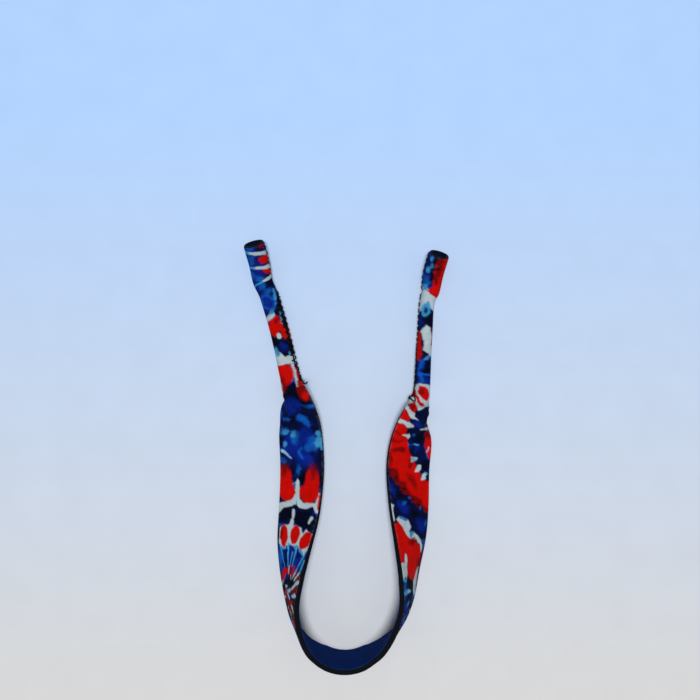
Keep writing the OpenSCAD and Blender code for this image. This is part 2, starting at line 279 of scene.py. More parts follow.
# red, dark red, brown-black speckles, black, navy, blue, mid, light and pale blue, white
DYES = {"r": (192, 7, 2), "d": (118, 4, 6), "x": (46, 3, 9), "k": (1, 5, 22), "n": (3, 12, 52),
        "b": (5, 30, 122), "m": (10, 80, 166), "l": (56, 140, 190), "p": (128, 172, 198),
        "w": (174, 190, 196)}
FADES = "bnmklp"                # dyes that vary in strength with the mottling
THIN = "bnmk"                   # dyes that what is under them shows through
SOAKED = 0.5                    # shapes this soft or softer have the most ragged edges

# The print, laid in order. An entry has one letter for its shape and one for its dye, then
# the softness of its edge, then millimetres along and across:
# E ellipse: centre, radii, any turn in degrees.   C capsule: two ends and their radii.
# P outline: its points.
LEFT_DYE = [
    "Ek 1.2 1 4 8 9", "Eb 1.5 4 -6 6 4 20",
    # burst: rings of lobes and rays round one point
    "Ed 0.5 14.5 6.5 3.4 2.4 -20", "Er 0.5 13.6 0.4 3.6 2.5", "Er 0.5 15.2 -6.2 3.6 2.5 18",
    "Cw 0.3 10.6 9.5 19.2 4 0.4 0.7", "Cw 0.3 14.6 -2.9 19.4 -2.4 0.3 0.6",
    "Cm 0.5 19.9 9 19.8 -9.5 0.5 0.6", "Ek 0.8 22.5 0 2.2 10", "Ex 1 30 1 7 9", "Ek 0.6 27 -8.6 4 1.6",
    "Ek 0.6 26 8.6 3.5 1.6", "Cw 0.3 24 4.6 25.2 2.2 0.5 0.45", "Cw 0.25 28.2 8.2 28.6 4.6 0.75 0.5",
    "Cp 0.3 26 -1 24.2 -4.2 0.5 0.4", "Cw 0.3 33.9 9 32.4 5.6 0.75 0.5", "Cd 0.3 36.4 9.6 34.4 6 1 0.8",
    "Cw 0.2 39.6 9.4 35.2 4.2 0.95 0.5", "Ck 0.3 31.4 9.8 30.6 5.2 0.9 0.7",
    "Cp 0.3 30.4 2.4 31.6 -0.6 0.8 0.9", "Cd 0.3 27.4 1.6 29.6 -3.4 0.9 1.2",
    "Cw 0.3 34.2 2.6 33 0.4 0.8 0.6", "Cl 0.3 33.4 -0.2 31.2 -4.4 0.55 0.8",
    "Cw 0.3 35.2 -1.2 34 -3.4 0.4 0.5", "Cw 0.3 29 -5.2 28 -7.6 0.5 0.6",
    "Cp 0.3 24.6 0.6 22.6 0.2 0.4 0.3", "Cd 0.3 25.6 6.8 24.6 9.2 0.6 0.8",
    "Cp 0.3 37.2 -5.2 33.4 -8.8 0.45 0.6", "Cr 0.3 30 6.6 28.6 2.6 0.8 0.6",
    "Cr 0.3 26.4 4.2 25 0.4 0.7 0.5", "Cr 0.3 32.4 -1.6 30.4 -6.4 0.7 0.6",
    "Cr 0.3 22.8 5.2 21.4 9.2 0.5 0.8", "Cp 0.3 22.6 2.6 20.6 5 0.4 0.4",
    "Cw 0.3 27.6 6.2 26.8 9 0.35 0.5", "Ck 0.4 36.6 3.4 36.4 -4 1.2 1.3", "Eb 0.8 48 3 6.4 8.2 -8",
    "Em 0.9 45 -8 4.6 2 5", "Ek 0.9 47 -3.2 4.6 1.3 -6", "En 0.9 50 5 2 1.2 30",
    "Ek 0.5 38.4 2.4 1.8 2.4", "Cd 0.25 41.6 8.8 40 6.6 1.1 0.8", "Cd 0.25 43.6 6.8 40.6 4.4 0.9 0.7",
    "Cr 0.25 44.4 3.9 40.6 2.6 0.8 0.6", "Cd 0.25 44.2 1.4 41 0.9 0.9 0.7",
    "Cr 0.25 41.4 -0.8 41.4 -3 1.2 1.2", "Cr 0.25 40.4 -4.4 36.6 -7 1.4 1.1",
    "Cw 0.2 39.4 5.8 43.8 9 0.3 0.5", "Cw 0.2 39.8 4 42.8 5.6 0.3 0.45",
    "Cw 0.2 38.8 2.6 40.4 1.9 0.3 0.3", "Cw 0.2 41 -0.2 43.8 -0.1 0.3 0.4",
    "Cl 0.25 42.8 5.6 50.6 8.6 0.3 0.5", "Cl 0.25 43.8 9 48.6 9.6 0.4 0.6",
    "Cl 0.25 44.2 2.2 53.2 3.4 0.25 0.6", "Cl 0.25 43.6 0.3 50.2 1.2 0.2 0.45",
    "Cl 0.25 43.6 -1.4 54.6 -2.6 0.3 0.7", "Cl 0.25 42.4 -4.2 50.8 -7.6 0.2 0.4",
    # three lobes with pale outlines
    "Pw 0.25 50.6,8.4 53.4,9.9 60.5,9.9 61.6,6.2 59.4,4.6 61.9,3.2 61.2,-0.9 64.6,-1.5 64.4,-2.5 "
    "61.2,-3.6 60.4,-6 58.6,-8.4 51.6,-8.9 50.2,-5.4 52.2,-3.2 50.6,-2.3 53,-1.4 52.7,1.6 54.2,3.7 "
    "51.6,6.4", "Cl 0.35 51.4 7.2 52.7 5.6 0.8 0.6", "Cl 0.35 52.6 2.4 53.2 3.6 0.7 0.5",
    "Cl 0.35 51.4 -2.4 53 -2.2 0.6 0.5", "Cl 0.35 50.2 -6.2 51 -4.2 0.5 0.6", "Er 0.22 57 7.2 4.3 2.8 20",
    "Er 0.22 57.7 0.9 4.2 2.7 8", "Er 0.22 55.6 -5.7 4.7 2.4 -4", "Cd 0.5 54.6 -7.6 58.6 -7.2 0.7 0.5",
    # navy band with small streaks, then the dripping outline of two large lobes
    "Ck 0.6 65.4 9.8 65 1 2.6 3", "Ck 0.6 65.4 -5.4 62.6 -9 2.8 2.4",
    "Cw 0.2 64.8 6.9 66.6 7.8 0.55 0.75", "Cw 0.2 65 -1.9 67.6 -2.1 0.6 0.8",
    "Pw 0.22 68.6,10.4 76.2,10.4 77.6,8.6 72.6,8.2 72.4,2 73.4,0.3 76.4,-0.3 80.4,-0.4 82.4,-1.4 "
    "80.6,-2.3 76.2,-2.3 73,-3.2 71.6,-5.6 70.7,-8 69.8,-10.4 64.4,-10.4 68,-7.4 69.4,-3.6 71,-1.2 "
    "69.5,0.8 70,5 71.2,7.2 69.2,8.8", "Cr 0.3 70.6 9.7 75.8 9.9 0.5 0.8",
    "Cl 0.3 70.8 -0.9 72.2 -1.4 0.3 0.3", "Ck 0.7 84.8 4.6 82.6 9.6 5.2 3.4",
    "Ck 0.7 84.4 -7.4 80 -7.6 4 4", "Cr 0.35 84.2 5.4 79 5.2 3.1 3.7", "Cr 0.35 84 -8 79 -7.4 3.2 3.4",
    "Er 0.2 76.6 4.3 4.2 4.7", "Er 0.3 80.2 6.2 2.8 2.6", "Er 0.2 76 -6.4 4.6 3.9",
    "Cd 1.7 86.8 5.4 83.2 5.4 2 0.8", "Cd 1.7 86.8 -8 83.2 -8 2 0.8",
    "Cw 0.25 73.4 -1.2 81 -1.3 0.95 0.8", "Cl 0.25 80.2 -2.8 79.8 -3.5 0.4 0.3",
    # mottled royal with light patches up to the shoulder
    "Eb 2 97 0 10 8", "En 1.2 90 8.2 4.5 2.2", "En 1.2 89.6 -3.6 3 1.5", "Em 0.6 86.4 -1.2 2.1 1.2",
    "Cm 0.5 91.6 0.6 94.4 -0.8 0.4 0.5", "Cm 0.5 94.4 -0.8 96.6 0.7 0.5 0.4", "Em 0.9 98.2 6 3.4 3 20",
    "El 0.5 98.8 8.4 2 1.9", "Cl 0.4 95.6 9.8 99 9 0.6 0.8", "El 0.5 102 9 1.4 1.2",
    "Em 0.8 96 3.6 1.6 1.8", "Cp 0.3 91.8 -4.8 95.2 -8.6 0.3 0.75", "El 0.5 98 -7 1.3 1 30",
    "Em 0.9 101.4 -2.4 3.6 2.2", "El 0.6 102.8 -2.8 1.8 1.3 20", "Em 0.8 105 -7.4 2.6 2.6",
    "El 0.6 104.6 -7 1.4 1.9 10", "Em 0.9 91 -9.2 1.6 1.6", "Cm 0.7 107 4.4 110.6 1.8 1.4 1",
    "Cm 0.5 112.4 9 115.6 3.4 0.9 0.6", "En 1 108 8.4 2.6 1.6", "Cm 0.6 110 -3.4 111.4 -6.8 0.8 0.5",
    "En 1 106.4 -1.4 2 3", "En 1 93.6 5.6 2 1.4", "Ek 1 119.4 6.4 6 4.6", "Ed 0.3 119.6 7.3 3.7 2.1 -6",
    "Er 0.6 118.2 7.9 2 1.2 -6", "Eb 1.4 116 0 4 4",
    # sleeve
    "Pr 0.25 122.6,0.2 125,2.2 126.6,4.6 128.6,6.2 134.4,5.9 135.1,2 134.6,-3 135.2,-5.8 128,-6.6 124,-4",
    "Ed 0.7 126.6 1.2 3 1", "Cw 0.25 124.6 0.4 127 0.6 0.25 0.4",
    "Pr 0.25 122,9.4 134,9.4 134.2,7.1 129,6.9 122.6,7.2",
    "Pr 0.25 122,-9.4 134,-9.4 134.2,-7.1 129,-6.9 122.6,-7.2", "Cw 0.2 123 6.8 129 6.6 0.25 0.35",
    "Cw 0.2 129 6.6 134.8 6.4 0.35 0.4",
    "Pw 0.22 134.8,9 134.9,5.9 135.1,2 134.7,-4 135,-9 138.8,-9 139.2,-6.8 138.6,-4.2 141,-2 143.6,0 "
    "141.2,2.1 138.5,4.2 139,6.8 138.6,9", "Cl 0.35 139.6 1.9 143.4 1.3 0.55 0.5",
    "Cl 0.3 138.8 6.7 140.2 6.4 0.3 0.3", "Cp 0.35 139.8 0.4 144 0.4 0.8 0.4", "Eb 1 142.6 4.6 1.8 1.2",
    "Ek 0.7 146 1.8 2.4 2.2",
    "Pr 0.22 145.6,9 146.2,5.4 150.2,5 148.2,1.8 150.4,0.6 152.2,-1 150,-3.4 147,-5 146,-9 150,-9 "
    "152.6,-6.2 157.2,-5.4 155.6,-2.4 154.4,0.2 155.6,2.3 157.4,4.8 156.4,5.9 151.4,6.2 149.8,7.4",
    "Ew 0.22 148.1 3.7 1.35 1.05", "Ed 0.5 155 4.6 1.6 0.8 20",
    "Pw 0.25 154.5,0 155.8,2 157.5,4.4 160.6,4.2 158.8,2.4 157,0 158.6,-2.6 161,-4.6 157.6,-4.4 "
    "155.6,-2.2", "Eb 1.3 164 0 5.6 6.4", "Cl 0.3 159 3.4 162.6 5.7 0.8 0.45",
    "Cl 0.3 162.6 5.7 168.4 6.5 0.45 0.2", "Cl 0.3 153.4 6 158.2 6.6 0.2 0.25",
    "Cl 0.3 158.4 -1.6 161.6 -5.2 0.8 0.5", "Ed 0.4 159.2 0.2 1.8 0.6", "Em 0.5 164.2 3.2 4.2 2.6",
    "Eb 0.5 164 3.2 3.2 1.9", "Em 0.7 168.2 4.2 1.6 1.4", "Em 0.6 164.4 -3.4 4 2.4",
    "Eb 0.5 164 -3.4 3 1.7", "Eb 1.6 182 0 13 7.5", "Ek 0.6 171.4 7.6 2.2 1.4", "Em 0.6 172 3.8 2 1.5",
    "Em 0.6 176.8 4.2 1.8 1.4", "Em 0.7 179.4 1.8 1.8 1.6", "Em 0.7 187 3.6 2 1.8",
    "Em 0.7 172.4 -3.8 2 1.5", "Em 0.7 184.6 -3.2 2.4 1.5", "Pr 0.3 177.9,12 178.4,7.4 181,6.6 181.2,12",
    "Ex 0.5 179.4 6.2 1.7 1", "Pr 0.3 183.6,12 184.4,7.2 187.6,6.8 187.8,12", "Ex 0.5 186 6 1.8 1.1",
    "Pr 0.3 178.2,-12 178.8,-7 181.4,-7 181,-12", "Pd 0.3 184,-12 184.6,-7 187.8,-7 187.6,-12",
    "Ed 0.35 193 9.6 1.3 1.4", "Ed 0.3 192.4 -9 1.6 1.8", "Cl 0.3 173.4 0.6 174.6 5.4 0.4 0.55",
    "Cw 0.3 174.6 5.4 176.6 9.6 0.6 1", "Cl 0.3 183 1.8 182.4 5.2 0.4 0.6",
    "Cw 0.3 182.4 5.2 181.8 10.5 0.7 1.1", "Cl 0.3 192 0.2 190.6 4.4 0.7 0.75",
    "Cw 0.3 190.6 4.8 188.6 10.5 0.6 1", "Cl 0.3 173.4 -0.4 175 -5.4 0.4 0.6",
    "Cw 0.3 175 -5.4 176.4 -9.8 0.6 1", "Cl 0.3 191.8 -0.4 190.2 -5.4 0.6 0.7",
    "Cw 0.3 190.2 -5.4 188.8 -11 0.6 0.9"]

RIGHT_DYE = [
    "Ek 1.2 2 3 8 9", "Cb 0.8 6 -9 14 2 1.6 1.2", "Cb 0.8 12 -6 22 5 1 1.8", "Cm 0.7 18 -3 25 6 0.6 1.3",
    "Cb 0.8 22 -4 31 8.5 1 1.8", "Cm 0.6 20 -8 24 -3 0.8 0.6", "Cp 0.4 19.4 -4.2 21.2 -1.6 0.35 0.3",
    "Cp 0.4 24 -7.6 26.2 -4 0.5 0.4", "Ck 0.7 27 -4 33 6 1.4 1.6", "Em 0.5 30.6 4 1.2 2.6 10",
    "El 0.35 30.8 3.6 0.7 1.8 8", "Ek 0.6 33.4 6.5 1.3 3.6", "Em 0.5 38.8 8.2 1.8 1.6",
    "Cl 0.3 36.9 9.2 36.3 4.6 1.2 1.1", "Cp 0.3 36.3 5.6 35.3 1.4 0.9 0.5",
    "Ck 0.35 35.2 -1.6 42.6 6.6 1.6 1.5", "Cn 0.5 31.6 -7.2 35.8 -2.4 1.1 1.1",
    "Cl 0.4 31.6 -7.6 34.8 -3.4 1 0.9",
    "Pw 0.25 41.6,6.6 43.6,7.6 42.4,10.4 50.2,10.4 49.4,7.2 52.8,6.4 52.2,4.8 50,4.4 48.4,5.6 45.2,5",
    "Cl 0.35 41.4 7.4 42.6 9.8 0.7 0.7",
    "Pw 0.3 32.6,-5.2 35,-2.6 39.2,-2 42,-4.4 44.4,-5.8 44.2,-7.4 41,-7 36,-7 32.6,-8.8 30.6,-8.2",
    "Cl 0.35 34 -5.6 37 -7.4 0.5 0.4", "Cp 0.3 40.4 -6 43.4 -6.9 0.3 0.3",
    "Cd 0.3 33.8 -9.3 42 -7.8 0.5 0.8", "Cd 0.3 42 -7.8 50.4 -8.7 0.8 0.6",
    "Pw 0.22 50.2,-7.4 54.2,-5.4 57.2,-2.6 58,2.8 62.6,5.6 67.8,8.4 69,6.6 66.6,2.2 63.6,0.6 61,2 "
    "60.4,-1 57.4,-5.6 54.2,-8.2",
    "Pr 0.22 38.6,-1.6 40.3,0.6 42,3.6 43.4,5.4 47,5.9 49.6,5 52.2,5 53,6.4 49.6,7.6 49.6,10.6 66,10.6 "
    "66.8,7.4 62.2,4.9 58.4,2.2 57.6,-0.6 55.4,-4 52.6,-6.2 49.6,-7.2 45.4,-6.9 42.6,-4.6",
    "Ed 0.9 57 0.6 1.6 2.2", "Ed 1 46 -5.4 2.4 1.2 10",
    "Pl 0.3 58.2,1.9 60.6,1.8 61.6,0.6 60.6,-1.2 59.6,-0.4",
    "Pw 0.25 66.6,10.6 67.8,9.2 71,9.4 73.8,8.8 74.8,10.6",
    # the navy diagonal
    "Pn 0.3 52.6,-8.2 56.6,-5.6 60.2,-1.6 63,0.4 66.6,2 69.2,6.4 71.6,9 74,8.6 75.4,10.8 90.2,10.8 "
    "84.6,6.4 81,3.4 78.4,0.2 74,-2.6 71.4,-6.2 69.4,-10.8 52,-10.8", "Eb 1 72 4 4 2.2 50",
    "Eb 1 63 -5 3.6 2.2 40", "Eb 0.9 80 8.4 2.6 1.2 30", "Ek 0.9 77.6 5.4 2.6 1.6 50",
    "Ek 0.9 68.6 -1.6 2.6 1.4 50", "Cm 0.4 68.4 6.4 66.9 3.2 0.5 0.7", "Em 0.4 74 3.3 0.8 1.2 20",
    "Em 0.35 75.9 0.4 0.7 0.6", "Em 0.35 70.4 -5.4 0.7 0.6", "Em 0.6 63.4 -8.4 1.4 0.8",
    "Cm 0.5 52.4 -9.6 56 -7.4 0.4 0.5",
    # scalloped dark red, then the bright reds
    "Pd 0.28 67.2,-9.8 68.6,-7.4 71.2,-6.6 70.6,-4 73,-2.4 73.8,-0.4 75.4,-0.6 77.4,0.4 77.9,3.2 "
    "79.2,4.7 81.6,4.4 82.4,6.6 84.6,7.4 86.4,9.2 88.6,8.6 89.4,10.8 92,10.8 90,6 86,1 80,-3 76,-8 "
    "72,-10.8 66.8,-10.8", "Ex 0.6 72.6 -4.4 1.6 1.3", "Ex 0.6 79.6 3.2 1.4 1.2",
    "Ex 0.6 84.6 6.2 1.6 1 20", "Ex 0.6 75.4 -1.8 1.2 1",
    "Pr 0.3 69.4,-10.8 71.4,-6.6 73.6,-6.4 75.2,-4.6 76.6,-2.2 77.6,-0.4 80.2,1.3 82.6,1.6 83.6,4.2 "
    "86.4,5 88.4,5.6 89.2,8.6 90,10.8 107.2,10.8 107,5.2 104.2,4.4 101,3 99.6,2.2 95.4,0.2 94.4,-1.2 "
    "92,-2.4 90.2,-3.2 87.6,-4 86.2,-5.6 84,-6.2 82.8,-7.6 82,-10.8", "Ed 0.8 92.6 9.6 3 1.2",
    "Ed 1.2 83 -1.6 3.4 1.2 30", "Cd 0.8 95.6 8.8 96.4 3.4 0.5 0.9", "Cd 0.7 99.8 9.6 100.2 5 0.3 0.5",
    "Ex 0.8 91 -0.2 1.6 0.8", "Cd 0.7 103.4 9.6 103.4 7.6 0.4 0.3",
    # navy scallops
    "Pn 0.25 83.2,-10.8 83.8,-8.6 86.4,-6 87.8,-5.6 90.4,-3.4 92.6,-2.8 94.6,-2.2 95,-0.6 97,0.2 100,0.4 "
    "103,1.6 110,2.6 117.4,2 118.8,-1 118.4,-6 116.6,-10.8 109,-10.8 107.2,-5 101,-4 99.8,-6.4 96,-7.2 "
    "93.6,-8.2 92.6,-10.8", "En 0.22 101.8 1 2 2", "En 0.22 105.6 2.2 1.9 2.1", "En 0.22 109.5 3 1.5 2.4",
    "En 0.22 113.9 2.5 2.2 2.2", "En 0.22 117.5 1.3 1.3 1.5", "En 0.22 97.4 -1 2.2 1.5",
    "Ek 0.8 104 -2 4.6 1.6", "Ek 0.8 90.6 -7.6 3.2 1.8", "Eb 0.8 109.4 1.8 1.2 1.6",
    "Eb 0.8 98.6 -2.2 2.2 1", "Em 0.3 104.4 1.1 0.6 0.5", "Cl 0.3 100.2 -0.4 100.6 -2.6 0.35 0.3",
    # white rays and patches
    "Pw 0.22 102,3 102.6,4.6 103,6.4 103.5,4.6 104.1,3.2 103.2,2.6",
    "Pw 0.22 107.2,10.8 108.6,10.8 108.6,6.4 109,5.2 108,2.6 107.4,2.6 106.6,4.6 107.2,6.4",
    "Pw 0.22 111.4,2.4 112.2,4.4 113.9,4.9 114,6.4 115,7.9 117.4,8.7 119.4,8 119,10.4 115.4,10.4 "
    "113.8,9.2 111.8,7.2 110.6,5.6 111,4",
    "Pw 0.22 82.9,-5.8 84.2,-6.4 86,-6.6 87,-8.2 86.2,-9.2 85,-8 83.6,-8.6 82.9,-7.4",
    "El 0.3 86.3 -8.3 0.8 0.6 30", "Pw 0.22 87.4,-2.8 88.4,-3.4 90.2,-3.7 90.8,-5.4 88.6,-5.8 87.2,-4.8",
    "Pp 0.22 91.8,-0.6 94.2,-0.4 94.6,-3 93.8,-4 92.2,-3",
    # the outer edge of the limb
    "Pr 0.3 92.6,-10.8 94.4,-8.6 98,-7.2 101,-5.8 104.6,-5.4 107.4,-4.6 108.6,-10.8",
    "Ed 0.6 105.8 -7 1.6 2.6", "Cp 0.3 97.2 -7.8 100.4 -8.6 0.25 0.35",
    "Pw 0.22 107.6,0 108.4,-0.4 109.2,-2.6 109.8,-6 110,-10.8 108.6,-10.8 108.4,-5 107.9,-2",
    "Cd 0.25 111.2 -2.2 111.2 -10.6 0.4 0.6", "Ck 0.5 113.4 -1 113.6 -10.6 1.4 1.5",
    "Cp 0.25 117.4 -4.6 115.8 -10.6 0.3 0.7",
    # curved stripes round the shoulder
    "Pw 0.25 115.6,3.9 117,2.7 118.4,2.2 118.8,-1 118.4,-6 117.6,-9.4 128.6,-9.4 128.4,9.4 119,9.4 "
    "118.6,6.6 117.4,5",
    "Pr 0.22 108.8,10.8 108.7,6.6 109.4,5.6 110.6,5.9 111.6,7.5 113.2,8.9 114.6,9.7 114.2,10.8",
    "Pr 0.22 114.1,5.6 114.7,7.2 116,8.2 117.8,8.2 119.2,7.4 120.2,6.5 118.9,6.1 117.4,5.2 116.2,4.5 "
    "114.8,4.8",
    "Pr 0.22 118,3.2 118.8,4.8 119.9,5.9 121.8,6.4 122.4,9.4 127,9.4 125.6,6.3 123.4,5.9 121.6,5.2 "
    "120.2,4.3 119.4,2.8 118.6,2.6",
    "Pr 0.22 120.5,1.9 121.2,3.4 122.6,4.8 124.6,5.6 127.4,5.2 127,3.2 124.8,2.1 122.6,1.6",
    "Pr 0.22 120.5,-1.6 121.4,-3.4 123.2,-5 126.6,-5.4 127,-3.2 124.6,-2 122.4,-1.4",
    "Cr 0.25 118.6 -4 124.6 -7.6 0.8 1.1", "Ed 0.7 124.4 4.2 1.6 0.8 20", "Ed 0.7 116.6 6.6 1.4 0.7",
    # sleeve
    "Pb 0.35 127.6,9.2 128.4,4.2 127.4,0 128,-5 127.6,-9.2 140.4,-9.2 141.8,-2.6 142.8,1 141.4,3.6 "
    "139.2,5 138.8,9.2", "Cn 0.6 128.8 6.6 137.6 6.8 1 0.7", "En 0.6 131.8 1.6 1.8 1.8",
    "Cm 0.4 129.4 4.4 133 5.4 0.8 0.5", "Cm 0.4 131.8 0.6 133.2 4.4 0.4 0.6",
    "Ck 0.6 134 3.4 138.4 2.4 1.3 0.8", "Cm 0.4 134.6 5.4 138.8 4.6 0.4 0.5",
    "Cl 0.35 139.6 3.8 142 2 0.5 0.5", "Cm 0.5 136 0.4 141.4 0.6 0.6 0.6",
    "Pr 0.25 138.8,9.2 139.2,5.2 142.6,5 147,5.4 152,5.9 152.6,9.2",
    "Pd 0.25 139,-9.2 139.6,-5.4 147,-5.4 152,-5.9 152.4,-9.2",
    "Pw 0.22 140.8,2.4 143,3.7 143.4,4.7 147,4.6 151.8,5.6 155,4.2 153.2,2.7 150.4,2.1 146,2.3 144.4,1 "
    "142,0.8", "Pr 0.25 145.4,2 151.6,2 152.4,0 151.4,-2.2 146,-2.2 144.8,0",
    "Pw 0.25 141.4,-2.6 144.4,-3.8 151.4,-5.2 154.8,-4 151,-2.4 144.8,-2",
    "Pn 0.3 152.6,9.2 153.4,5.7 155.4,4.2 153.4,2.2 152.2,0 153,-2.4 155.4,-4 153,-6 152.8,-9.2 "
    "160.6,-9.2 161.4,0 160.8,3.2 158.6,5.6 159,9.2", "Ek 0.7 156.8 2.4 2.6 1.8", "Eb 0.7 156.4 5.8 2 1",
    "Pw 0.3 159.6,9.2 160.8,6.2 162.4,3.4 161,1.4 160.8,-3 160.2,-9.6 168.6,-12 168.8,0 168.4,4.8 "
    "171,5.4 172.6,7 171.4,12 165,12", "El 0.3 161.5 4.4 2.9 1.35 -4", "En 0.25 161.2 4.4 1.4 0.6",
    "Cl 0.3 162.4 3.2 164.8 4 0.3 0.4", "En 0.4 158.6 6.8 1.4 0.8", "El 0.3 161.5 -4.4 2.6 1.3 4",
    "En 0.25 161.2 -4.4 1.3 0.6", "Pb 0.5 170.6,14 173,6.4 175.6,4.6 190,4.8 190,14",
    "Pb 0.5 170.6,-14 173,-6.8 176.6,-4.6 190,-4.8 190,-14", "Cl 0.5 171.4 6.6 173.6 8.4 0.9 1.2",
    "Em 0.7 176.4 8.4 2.4 1.8", "El 0.4 181.6 8.8 1.6 1", "El 0.4 184.6 7.2 2.2 1 -14",
    "Ek 0.6 179 6.4 2.6 0.8", "El 0.4 187.4 8.8 1.3 0.9", "En 0.7 185 10.6 2.6 1.4",
    "Em 0.7 178 -8.4 2.4 1.6", "El 0.4 184 -8 1.6 1",
    "Pk 0.6 174.6,4 176.4,7.4 179.2,7 182,8.4 185.4,7.6 190,9 190,4",
    "Pr 0.3 168.9,5.4 170.6,6.6 171.8,5.9 174.6,5.2 176.8,5.9 178.6,5.2 181,6.6 183,5.9 185.2,6.9 187,6 "
    "190,6.6 190,-4.6 182,-5.2 176,-4.4 171,-5 168.7,-3.6 168.2,0", "Cd 0.8 176 4.4 189 5.2 0.7 1.3",
    "Cd 0.9 174 -2 190 -2.2 1.4 1.4", "Ex 0.5 183.6 5.6 2.4 0.9", "Ex 0.5 178.2 5 1.5 0.6 20",
    "Ex 0.5 188.4 5.4 1.3 0.9"]


def read_entry(entry):
    """Shape, dye, softness and numbers of an entry, or points for an outline."""
    letters, softness, *words = entry.replace(",", " ").split()
    numbers = [float(word) for word in words]
    if letters[0] == "P":
        numbers = list(zip(numbers[::2], numbers[1::2]))
    return letters[0], letters[1], float(softness), numbers


def signed_distance(shape, s, v, q):
    """Distance in millimetres to the shape's edge, negative inside."""
    if shape == "E":
        a = math.radians(q[4] if len(q) > 4 else 0)
        x = (s - q[0]) * math.cos(a) + (v - q[1]) * math.sin(a)
        y = (v - q[1]) * math.cos(a) - (s - q[0]) * math.sin(a)
        r = np.hypot(x / q[2], y / q[3])
        return (r - 1) * min(q[2], q[3]) * (0.5 + 0.5 * np.clip(r, 0, 2))
    if shape == "C":
        d = np.array([q[2] - q[0], q[3] - q[1]])
        t = np.clip(((s - q[0]) * d[0] + (v - q[1]) * d[1]) / (d @ d), 0, 1)
        return np.hypot(s - q[0] - t * d[0], v - q[1] - t * d[1]) - (q[4] + (q[5] - q[4]) * t)
    best = np.full(s.shape, 1e9)
    inside = np.zeros(s.shape, bool)
    for (x0, y0), (x1, y1) in zip(q, q[1:] + q[:1]):
        dx, dy = x1 - x0, y1 - y0
        t = np.clip(((s - x0) * dx + (v - y0) * dy) / (dx * dx + dy * dy), 0, 1)
        best = np.minimum(best, np.hypot(s - x0 - t * dx, v - y0 - t * dy))
        if dy:
            inside ^= ((y0 > v) != (y1 > v)) & (s < x0 + (v - y0) * dx / dy)
    return np.where(inside, -best, best)


def paint(half, s, v):
    """Dye colour at each point, in linear light."""
    along = half.sx * (s + NECK_HALF)       # runs on through the middle of the strap
    s = s - DYE_START

    def ragged(base, coarse, fine, seed):
        """A coordinate moved about by millimetres, each with its feature size."""
        return (base + coarse[0] * fbm(along, v, coarse[1], seed)
                + fine[0] * fbm(along, v, fine[1], seed + 2, 2))

    crisp = [ragged(s, (0.42, 2.6), (0.20, 0.8), 3), ragged(v, (0.42, 2.6), (0.20, 0.8), 7)]
    bled = [ragged(s, (1.0, 3.6), (0.55, 1.2), 51), ragged(v, (1.0, 3.6), (0.55, 1.2), 57)]
    speck = lattice(along / 0.55, v / 0.55, 61)
    cloud = fbm(along + 3 * fbm(along, v, 6, 21), v, 4.5, 13)
    fine = fbm(along, v, 1.3, 17)
    mottle = 1 + 0.35 * cloud + 0.22 * fine
    dyes = {name: linear(rgb) for name, rgb in DYES.items()}
    colour = np.tile(dyes["n"], s.shape + (1,))

    def lay(amount, c):
        nonlocal colour
        colour = colour * (1 - amount[..., None]) + c * amount[..., None]

    lay(smooth(0.05, 0.45, cloud), dyes["b"])
    lay(smooth(0.42, 0.62, cloud + 0.25 * fine), dyes["m"])
    lay(smooth(0.05, 0.5, -cloud), dyes["k"])
    started = smooth(-2, 6, s)
    for entry in LEFT_DYE if half is left else RIGHT_DYE:
        shape, dye, softness, numbers = read_entry(entry)
        d = signed_distance(shape, *(bled if softness >= SOAKED else crisp), numbers)
        amount = smooth(softness, -softness, d)
        if dye == "x":
            amount = amount * smooth(-0.5, 0.2, speck)
        if dye in THIN:
            amount = amount * np.clip(0.94 + 0.25 * fine, 0, 1)
        c = dyes[dye] * (mottle[..., None] if dye in FADES else 1 + 0.12 * fine[..., None])
        if dye in "rd":
            rim = smooth(-1.1, -0.1, d)[..., None]
            c = c * (1 - 0.10 * rim) * (1 + 0.10 * cloud[..., None])
        lay(amount * started, c)
    return np.clip(colour, 0.0004, 0.9)


# ---------------------------------------------------------------- meshes
TAUS = np.linspace(-1, 1, 51)       # points across the cloth
EDGE_REACH = 0.55                   # how far wear reaches in from a cut edge
MOUTH_REACH = 0.7                   # and from the mouth
TO_CM = 0.1                         # the knit's coordinates are in centimetres


def new_object(name, mesh):
    obj = bpy.data.objects.new(name, mesh)
    bpy.context.scene.collection.objects.link(obj)
    return obj


def smooth_mesh(name, verts, faces):
    mesh = bpy.data.meshes.new(name)
    mesh.from_pydata([tuple(p) for p in verts], [], [tuple(int(i) for i in f) for f in faces])
    mesh.update()
    for p in mesh.polygons:
        p.use_smooth = True
    return new_object(name, mesh)


def set_attribute(mesh, name, kind, domain, values, field="value"):
    layer = mesh.attributes.get(name) or mesh.attributes.new(name, kind, domain)
    layer.data.foreach_set(field, values)


def shy(half, s, tau):
    """Where the printed face stops short of the butted edges, unevenly, so that foam shows."""
    S = half.place(s)[4]
    tau = np.asarray(tau)
    gap = smooth(150, 180, S[FOLD]) * (0.40 + 0.26 * fbm(s + 0 * tau, 5 * np.sign(tau), 1.9, 41))
    return tau - np.sign(tau) * smooth(0.80, 1.0, np.abs(tau)) * gap / S[HALF_W]


